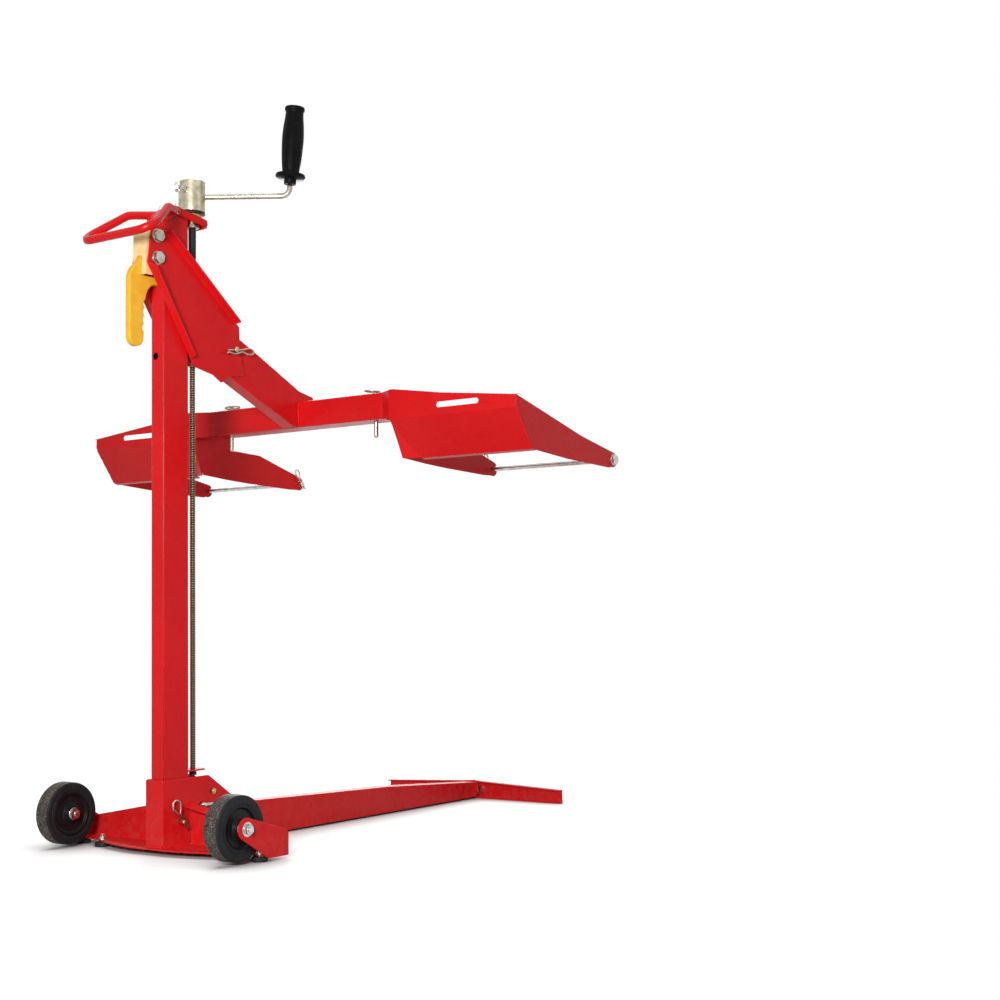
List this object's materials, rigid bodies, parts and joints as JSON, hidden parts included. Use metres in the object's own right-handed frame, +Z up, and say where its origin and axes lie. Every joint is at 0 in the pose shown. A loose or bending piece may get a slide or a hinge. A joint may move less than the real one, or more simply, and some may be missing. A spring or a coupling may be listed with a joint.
{
  "type": "lawn mower lift",
  "caption": "Hand-cranked screw lift that raises a mower's front wheels in sliding wheel trays, on a wheeled mast with a folding floor leg.",
  "frame": {"origin": "on the floor, under the middle of the lift's overall box", "axes": "+X to the lift's right as its operator faces the mower, +Y from the operator towards the mower, +Z up"},
  "size_m": [1.29, 1.238, 1.5737],
  "materials": {
    "red_coat": "gloss powder coat",
    "zinc_plate": "zinc plated",
    "oiled_steel": "oiled rolled thread",
    "passivated_zinc": "yellow zinc",
    "bronze": "sintered bronze",
    "black_rubber": "moulded",
    "tyre_rubber": "dusty tread",
    "black_plastic": "moulded",
    "grip_plastic": "satin moulded",
    "yellow_plastic": "moulded"
  },
  "bodies": {
    "base": {"base_plate": "red_coat", "right_wing": "red_coat", "left_wing": "red_coat", "mast_socket": "red_coat", "mast": "red_coat", "screw_foot_bracket": "red_coat", "top_handle": "red_coat", "top_bushing": "bronze", "hitch_pin": "zinc_plate", "hitch_pin_clip": "zinc_plate", "leg_stop_pin": "zinc_plate", "leg_pivot_bolt": "zinc_plate", "right_inner_foot": "black_rubber", "left_inner_foot": "black_rubber", "right_outer_foot": "black_rubber", "left_outer_foot": "black_rubber", "right_axle_bolt": "zinc_plate", "left_axle_bolt": "zinc_plate"},
    "right_wheel": {"right_tyre": "tyre_rubber", "right_wheel_core": "black_plastic"},
    "left_wheel": {"left_tyre": "tyre_rubber", "left_wheel_core": "black_plastic"},
    "leg": {"leg_channel": "red_coat", "leg_foot_bar": "red_coat", "foot_bar_bolt": "zinc_plate"},
    "screw": {"lead_screw": "oiled_steel", "screw_end_cap": "black_plastic", "screw_sleeve": "black_rubber", "thrust_nut": "zinc_plate", "thrust_washer": "black_rubber", "crank_hub": "zinc_plate", "hub_bolt": "zinc_plate", "crank_arm": "zinc_plate"},
    "grip": {"crank_grip": "grip_plastic"},
    "carriage": {"right_carriage_plate": "red_coat", "left_carriage_plate": "red_coat", "upper_roller_bolt": "zinc_plate", "lower_roller_bolt": "zinc_plate", "lift_nut": "zinc_plate", "slide_pad": "black_plastic", "boom_tube": "red_coat", "boom_pin": "zinc_plate", "boom_pin_clip": "zinc_plate", "crossbar": "red_coat"},
    "upper_roller": {"upper_roller": "black_plastic"},
    "lower_roller": {"lower_roller": "black_plastic"},
    "latch": {"latch_lever": "passivated_zinc", "latch_grip": "yellow_plastic"},
    "right_lock": {"right_lock_pin": "zinc_plate"},
    "left_lock": {"left_lock_pin": "zinc_plate"},
    "right_tray": {"right_tray": "red_coat", "right_tray_rod": "zinc_plate", "right_rod_clip": "zinc_plate"},
    "left_tray": {"left_tray": "red_coat", "left_tray_rod": "zinc_plate", "left_rod_clip": "zinc_plate"}
  },
  "joints": [
    {"name": "crank_turn", "type": "hinge", "parent": "base", "child": "screw", "pos_m": [0, -0.3917, 1.3787], "axis": [0, 0, -1], "range_deg": [-56200, 290]},
    {"name": "grip_spin", "type": "hinge", "parent": "screw", "child": "grip", "pos_m": [0.17202, -0.27125, 1.4037], "axis": [0.0586, 0.041, 0.9974], "continuous": true},
    {"name": "carriage_lift", "type": "slide", "parent": "base", "child": "carriage", "axis": [0, 0, 1], "range_m": [-0.781, 0.005]},
    {"name": "upper_roller_spin", "type": "hinge", "parent": "carriage", "child": "upper_roller", "pos_m": [0, -0.514, 1.2687], "axis": [1, 0, 0], "continuous": true},
    {"name": "lower_roller_spin", "type": "hinge", "parent": "carriage", "child": "lower_roller", "pos_m": [0, -0.514, 1.2224], "axis": [1, 0, 0], "continuous": true},
    {"name": "latch_pivot", "type": "hinge", "parent": "carriage", "child": "latch", "pos_m": [0, -0.514, 1.2687], "axis": [-1, 0, 0], "range_deg": [0, 22], "stiffness_Nm_per_rad": 1.5, "springref_deg": -17.19},
    {"name": "right_lock_lift", "type": "slide", "parent": "carriage", "child": "right_lock", "axis": [0, 0, 1], "range_m": [0, 0.06]},
    {"name": "left_lock_lift", "type": "slide", "parent": "carriage", "child": "left_lock", "axis": [0, 0, 1], "range_m": [0, 0.06]},
    {"name": "right_tray_slide", "type": "slide", "parent": "carriage", "child": "right_tray", "axis": [1, 0, 0], "range_m": [0, 0.1]},
    {"name": "left_tray_slide", "type": "slide", "parent": "carriage", "child": "left_tray", "axis": [-1, 0, 0], "range_m": [0, 0.1]},
    {"name": "leg_fold", "type": "hinge", "parent": "base", "child": "leg", "pos_m": [0, -0.36, 0.1147], "axis": [1, 0, 0], "range_deg": [0, 60]},
    {"name": "right_wheel_spin", "type": "hinge", "parent": "base", "child": "right_wheel", "pos_m": [0.245, -0.5205, 0.0702], "axis": [1, 0, 0], "continuous": true},
    {"name": "left_wheel_spin", "type": "hinge", "parent": "base", "child": "left_wheel", "pos_m": [-0.245, -0.5205, 0.0702], "axis": [1, 0, 0], "continuous": true}
  ],
  "couplings": [
    {"joint": "carriage_lift", "follows": "crank_turn", "m_per_rad": 0.00079577}
  ]
}
